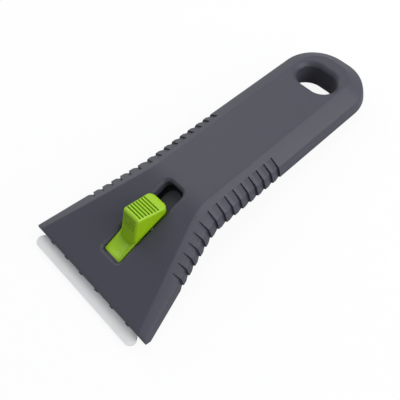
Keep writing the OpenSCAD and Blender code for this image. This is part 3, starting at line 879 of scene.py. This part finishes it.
def mathNode(tree, operation, a, b):
    return addNode(tree, "ShaderNodeMath", ((0, a), (1, b)), operation=operation).outputs[0]


def emptyTree(owner):
    # the node tree of a material or world, with nothing in it
    owner.use_nodes = True
    owner.node_tree.nodes.clear()
    return owner.node_tree


def toSurface(tree, shader, kind="ShaderNodeOutputMaterial"):
    tree.links.new(shader.outputs[0], addNode(tree, kind).inputs["Surface"])


def mixShaders(tree, share, first, second):
    both = addNode(tree, "ShaderNodeMixShader")
    for socket, source in enumerate((share, first.outputs[0], second.outputs[0])):
        tree.links.new(source, both.inputs[socket])
    return both


def twoTones(tree, factor, tones):
    tone = addNode(tree, "ShaderNodeMix", data_type="RGBA")
    tree.links.new(factor, tone.inputs["Factor"])
    tone.inputs["A"].default_value, tone.inputs["B"].default_value = tones
    return tone.outputs["Result"]


def srgb(r, g, b):
    return tuple(((c / 255 + 0.055) / 1.055) ** 2.4 if c > 10 else c / 3294 for c in (r, g, b)) + (1,)


# of the moulded plastic: broad cloud and middle grain, as noise scale and detail
plasticNoise = {"cloud": (55.0, 4.0), "middle": (420.0, 2.0)}


def mouldedGroup():
    # moulded plastic: fine spark-eroded grain, slow mottling in colour and shine, and a little dust
    group, give, out = newGroup("mouldedPlastic", (
        ("Colour", "NodeSocketColor", (0.1, 0.1, 0.11, 1)),
        ("Grain Size", "NodeSocketFloat", 0.25),
        ("Mottle", "NodeSocketFloat", 0.06),
        ("Roughness", "NodeSocketFloat", 0.5),
        ("Speckle", "NodeSocketFloat", 0.12),
    ), (("Colour", "NodeSocketColor"), ("Roughness", "NodeSocketFloat"), ("Height", "NodeSocketFloat")))
    place = addNode(group, "ShaderNodeTexCoord").outputs["Object"]
    scale = mathNode(group, "DIVIDE", 1000.0, give.outputs["Grain Size"])
    grain = addNode(group, "ShaderNodeTexNoise", (("Vector", place), ("Scale", scale), ("Detail", 3.0),
                                                  ("Roughness", 0.6)))
    cloudScale, cloudDetail = plasticNoise["cloud"]
    coarse = addNode(group, "ShaderNodeTexNoise", (("Vector", place), ("Scale", cloudScale),
                                                   ("Detail", cloudDetail), ("Roughness", 0.55)))
    middleScale, middleDetail = plasticNoise["middle"]
    middle = addNode(group, "ShaderNodeTexNoise", (("Vector", place), ("Scale", middleScale),
                                                   ("Detail", middleDetail)))
    slow = mathNode(group, "MULTIPLY", mathNode(group, "SUBTRACT", coarse.outputs["Fac"], 0.5),
                    give.outputs["Mottle"])
    speck = mathNode(group, "MULTIPLY", mathNode(group, "SUBTRACT", grain.outputs["Fac"], 0.5),
                     give.outputs["Speckle"])
    lift = mathNode(group, "ADD", mathNode(group, "ADD", mathNode(group, "MULTIPLY", slow, 4.0), 1.0),
                    mathNode(group, "MULTIPLY", speck, 3.0))
    colour = addNode(group, "ShaderNodeVectorMath", ((0, give.outputs["Colour"]),), operation="SCALE")
    group.links.new(lift, colour.inputs["Scale"])
    group.links.new(colour.outputs[0], out.inputs["Colour"])
    rough = mathNode(group, "ADD", give.outputs["Roughness"],
                     mathNode(group, "ADD", slow, mathNode(group, "MULTIPLY", speck, 0.5)))
    group.links.new(rough, out.inputs["Roughness"])
    height = mathNode(group, "ADD", grain.outputs["Fac"],
                      mathNode(group, "MULTIPLY", middle.outputs["Fac"], 0.6))
    group.links.new(height, out.inputs["Height"])
    return group


mouldedPlastic = mouldedGroup()


def plasticMaterial(name, look):
    material = bpy.data.materials.new(name)
    tree = emptyTree(material)
    grain = addNode(tree, "ShaderNodeGroup", node_tree=mouldedPlastic)
    for socket in ("Colour", "Grain Size", "Mottle", "Roughness", "Speckle"):
        grain.inputs[socket].default_value = look[socket]
    bump = addNode(tree, "ShaderNodeBump", (
        ("Height", grain.outputs["Height"]), ("Strength", look["Bump"]),
        ("Distance", look["Grain Size"] * 0.15 * mm)))
    shader = addNode(tree, "ShaderNodeBsdfPrincipled", (
        ("Base Color", grain.outputs["Colour"]), ("Roughness", grain.outputs["Roughness"]),
        ("Normal", bump.outputs["Normal"]), ("IOR", 1.49), ("Specular IOR Level", look["Shine"])))
    toSurface(tree, shader)
    return material


# grain sizes in mm
shellLook = {"Colour": srgb(62, 62, 72), "Grain Size": 0.3, "Mottle": 0.05, "Roughness": 0.5,
             "Speckle": 0.12, "Bump": 0.5, "Shine": 0.35}
sliderLook = {"Colour": srgb(142, 184, 12), "Grain Size": 0.25, "Mottle": 0.04, "Roughness": 0.42,
              "Speckle": 0.05, "Bump": 0.25, "Shine": 0.5}
carrierLook = {"Colour": srgb(56, 57, 64), "Grain Size": 0.3, "Mottle": 0.05, "Roughness": 0.5,
               "Speckle": 0.1, "Bump": 0.3, "Shine": 0.5}
shellPlastic = plasticMaterial("greyShellPlastic", shellLook)
sliderPlastic = plasticMaterial("greenSliderPlastic", sliderLook)
carrierPlastic = plasticMaterial("blackCarrierPlastic", carrierLook)


ceramicLook = {
    "tones": (srgb(226, 226, 225), srgb(236, 236, 235)),
    "lines": (40.0, 5000.0, 40.0),  # drawn out across the blade
    "cloud": 90.0,
    "roughness": (0.22, 0.12),  # lowest, and how much the lines add
    "bump": (0.15, 0.00001),
}


def ceramicMaterial():
    # white ceramic: nearly even, with faint grinding lines across the blade
    material = bpy.data.materials.new("whiteCeramic")
    tree = emptyTree(material)
    place = addNode(tree, "ShaderNodeTexCoord").outputs["Object"]
    stretch = addNode(tree, "ShaderNodeMapping", (("Vector", place), ("Scale", ceramicLook["lines"])))
    lines = addNode(tree, "ShaderNodeTexNoise", (
        ("Vector", stretch.outputs[0]), ("Scale", 1.0), ("Detail", 2.0))).outputs["Fac"]
    cloud = addNode(tree, "ShaderNodeTexNoise", (
        ("Vector", place), ("Scale", ceramicLook["cloud"]), ("Detail", 3.0)))
    tone = twoTones(tree, cloud.outputs["Fac"], ceramicLook["tones"])
    least, more = ceramicLook["roughness"]
    rough = mathNode(tree, "ADD", mathNode(tree, "MULTIPLY", lines, more), least)
    strength, distance = ceramicLook["bump"]
    bump = addNode(tree, "ShaderNodeBump", (
        ("Height", lines), ("Strength", strength), ("Distance", distance)))
    toSurface(tree, addNode(tree, "ShaderNodeBsdfPrincipled", (
        ("Base Color", tone), ("Roughness", rough), ("Normal", bump.outputs["Normal"]), ("IOR", 1.6))))
    return material


steelLook = {
    "tones": (srgb(168, 170, 174), srgb(196, 197, 200)),
    "cloud": 700.0,
    "roughness": (0.25, 0.2),
    "bump": (0.2, 0.00002),
}


def steelMaterial():
    material = bpy.data.materials.new("plainSteel")
    tree = emptyTree(material)
    place = addNode(tree, "ShaderNodeTexCoord").outputs["Object"]
    cloud = addNode(tree, "ShaderNodeTexNoise", (
        ("Vector", place), ("Scale", steelLook["cloud"]), ("Detail", 4.0))).outputs["Fac"]
    least, more = steelLook["roughness"]
    rough = mathNode(tree, "ADD", mathNode(tree, "MULTIPLY", cloud, more), least)
    strength, distance = steelLook["bump"]
    bump = addNode(tree, "ShaderNodeBump", (
        ("Height", cloud), ("Strength", strength), ("Distance", distance)))
    toSurface(tree, addNode(tree, "ShaderNodeBsdfPrincipled", (
        ("Base Color", twoTones(tree, cloud, steelLook["tones"])), ("Roughness", rough),
        ("Metallic", 1.0), ("Normal", bump.outputs["Normal"]))))
    return material


ceramic = ceramicMaterial()
steel = steelMaterial()
print("materials made")

# Pieces on their bodies

pieceParts = (
    (upperShell, "handle", "upper_shell", "shell", shellPlastic),
    (lowerShell, "handle", "lower_shell", "shell", shellPlastic),
    (slider, "carriage", "thumb_slider", "slider", sliderPlastic),
    (blade, "carriage", "ceramic_blade", "blade", ceramic),
)
for piece, body, node, slotName, material in pieceParts:
    piece.data.materials.clear()
    piece.data.materials.append(material)
    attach(piece, body)
    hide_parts(node)

nodeMaterials = {
    "blade_carrier": carrierPlastic,
    "blade_clamp": steel,
    "clamp_screws": steel,
    "slider_screws": steel,
    "detent_spring": steel,
    "shell_screws": steel,
}
for name, material in nodeMaterials.items():
    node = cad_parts[name]
    for slot in node.material_slots:
        slot.material = material

# Floor, lamps and camera

stageForm = {
    "floor": (0.5, 0.5, 0.5, 1),
    "floorSize": 4,
    "floorSeen": 0.86,  # share of the white that is seen; the rest shows the shadow
    "floorGlow": 1.06,
    "mirrored": 0.2,  # share of the white that glossy surfaces mirror
    "world": (0.93, 0.95, 1.0, 1),
    "worldStrength": 0.48,
    "lampTarget": (0, 0.07, 0),
    # name: place, size and watts
    "lamps": {
        "rightPanel": ((1.0, 0.2, 0.3), 0.6, 3.0),
        "rearRightPanel": ((0.68, 0.56, 0.62), 0.7, 6.6),
        "highRearPanel": ((-0.35, 0.62, 0.95), 0.6, 2.8),
        "leftPanel": ((-1.0, 0.2, 0.3), 0.6, 2.2),
        "highLeftPanel": ((-0.8, 0.3, 0.65), 0.6, 2.0),
    },
}


def seenRays(tree):
    # 1 for what the camera sees or what glass shows, and less for what a glossy surface mirrors
    path = addNode(tree, "ShaderNodeLightPath")
    mirrored = mathNode(tree, "MULTIPLY", path.outputs["Is Glossy Ray"], stageForm["mirrored"])
    direct = mathNode(tree, "MAXIMUM", path.outputs["Is Camera Ray"], path.outputs["Is Transmission Ray"])
    return mathNode(tree, "MAXIMUM", direct, mirrored)


def makeFloor():
    bm = bmesh.new()
    bmesh.ops.create_grid(bm, x_segments=1, y_segments=1, size=stageForm["floorSize"])
    mesh = bpy.data.meshes.new("paleFloor")
    bm.to_mesh(mesh)
    bm.free()
    floor = bpy.data.objects.new("paleFloor", mesh)
    bpy.context.scene.collection.objects.link(floor)
    material = bpy.data.materials.new("paleFloor")
    tree = emptyTree(material)
    matte = addNode(tree, "ShaderNodeBsdfDiffuse", (("Color", stageForm["floor"]),))
    glow = addNode(tree, "ShaderNodeEmission", (
        ("Color", (1, 1, 1, 1)), ("Strength", stageForm["floorGlow"])))
    seen = mathNode(tree, "MULTIPLY", seenRays(tree), stageForm["floorSeen"])
    toSurface(tree, mixShaders(tree, seen, matte, glow))
    floor.data.materials.append(material)


def makeWorld():
    world = bpy.data.worlds.new("studio")
    bpy.context.scene.world = world
    tree = emptyTree(world)
    soft = addNode(tree, "ShaderNodeBackground", (("Color", stageForm["world"]),
                                                  ("Strength", stageForm["worldStrength"])))
    white = addNode(tree, "ShaderNodeBackground", (("Color", (1, 1, 1, 1)), ("Strength", 1.0)))
    toSurface(tree, mixShaders(tree, seenRays(tree), soft, white), "ShaderNodeOutputWorld")


def makeLamps():
    target = Vector(stageForm["lampTarget"])
    for name, (place, size, watts) in stageForm["lamps"].items():
        light = bpy.data.lights.new(name, "AREA")
        light.size = size
        light.energy = watts
        lamp = bpy.data.objects.new(name, light)
        bpy.context.scene.collection.objects.link(lamp)
        lamp.location = place
        lamp.rotation_euler = (Vector(place) - target).to_track_quat("Z", "Y").to_euler()


cameraForm = {
    "place": (0.09389, -0.02221, 0.19965),
    "target": (0.00773, 0.04766, 0.012),
    "roll": -5.17,  # degrees
    "focal": 48.28,
    "sensor": 36,
    "nearest": 0.01,
}


def makeCamera():
    data = bpy.data.cameras.new("viewCamera")
    data.sensor_width = cameraForm["sensor"]
    data.lens = cameraForm["focal"]
    data.clip_start = cameraForm["nearest"]
    camera = bpy.data.objects.new("viewCamera", data)
    bpy.context.scene.collection.objects.link(camera)
    place = Vector(cameraForm["place"])
    aim = (Vector(cameraForm["target"]) - place).to_track_quat("-Z", "Y").to_matrix().to_4x4()
    roll = Matrix.Rotation(math.radians(cameraForm["roll"]), 4, "Z")
    camera.matrix_world = Matrix.Translation(place) @ aim @ roll
    bpy.context.scene.camera = camera


makeFloor()
makeWorld()
makeLamps()
makeCamera()
bpy.context.scene.view_settings.view_transform = "Standard"

print("scene ready")
